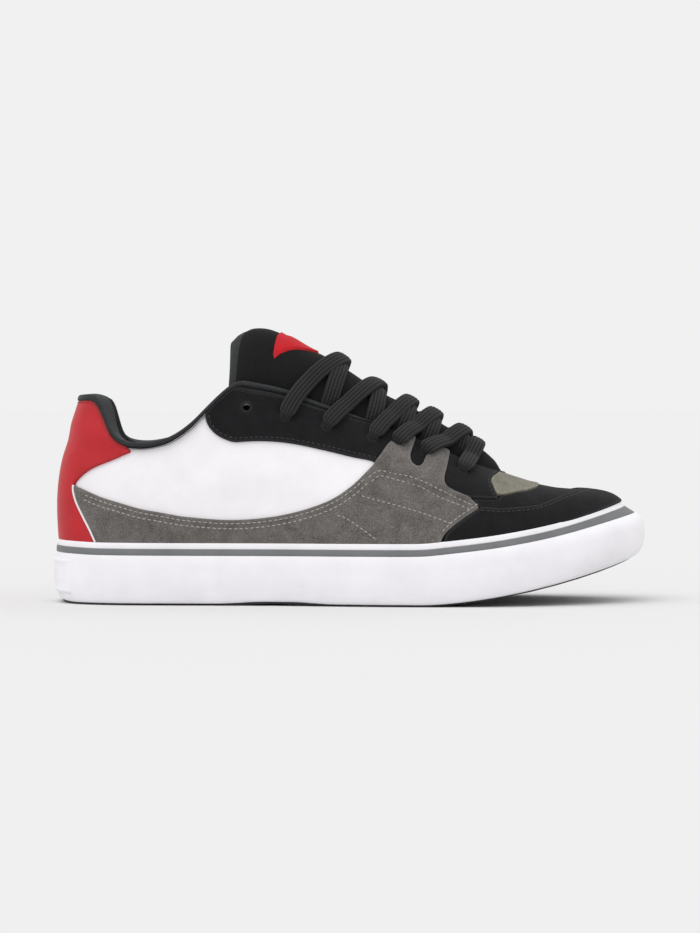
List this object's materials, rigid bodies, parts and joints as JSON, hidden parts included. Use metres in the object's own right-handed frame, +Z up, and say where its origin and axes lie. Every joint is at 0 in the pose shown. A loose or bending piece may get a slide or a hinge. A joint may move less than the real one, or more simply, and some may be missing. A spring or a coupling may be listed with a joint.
{
  "type": "low skate shoe",
  "caption": "Low lace-up skate shoe for the right foot, with a white rubber sidewall, a padded tongue and collar, suede and leather overlays, and fat flat laces.",
  "frame": {"origin": "centre of the footprint on the floor", "axes": "+X from heel to toe, -Y towards the outer side of the foot, +Z up from the floor"},
  "size_m": [0.3001, 0.1086, 0.1369],
  "materials": {
    "outsole_rubber": "matte dark rubber with fine tread",
    "foxing_rubber": "smooth white rubber, satin",
    "stripe_rubber": "smooth grey rubber",
    "insole_cloth": "brushed textile",
    "white_leather": "smooth white leather, fine grain",
    "red_leather": "smooth red leather",
    "grey_suede": "grey suede, napped",
    "black_suede": "black suede, napped",
    "collar_cloth": "dark textile lining and binding",
    "lace_cloth": "black braided cord, ribbed lengthwise"
  },
  "bodies": {
    "root": {"outsole": "outsole_rubber", "foxing": "foxing_rubber", "foxing_stripe": "stripe_rubber", "heel_plate": "foxing_rubber", "insole": "insole_cloth", "upper": "white_leather", "counter": "red_leather", "saddle_outer": "grey_suede", "saddle_inner": "grey_suede", "eyestay_outer": "black_suede", "eyestay_inner": "black_suede", "vamp": "black_suede", "vamp_patch": "grey_suede", "toe_guard": "black_suede", "collar": "collar_cloth", "tongue": "black_suede", "tongue_patch": "red_leather", "laces": "lace_cloth"}
  },
  "joints": []
}
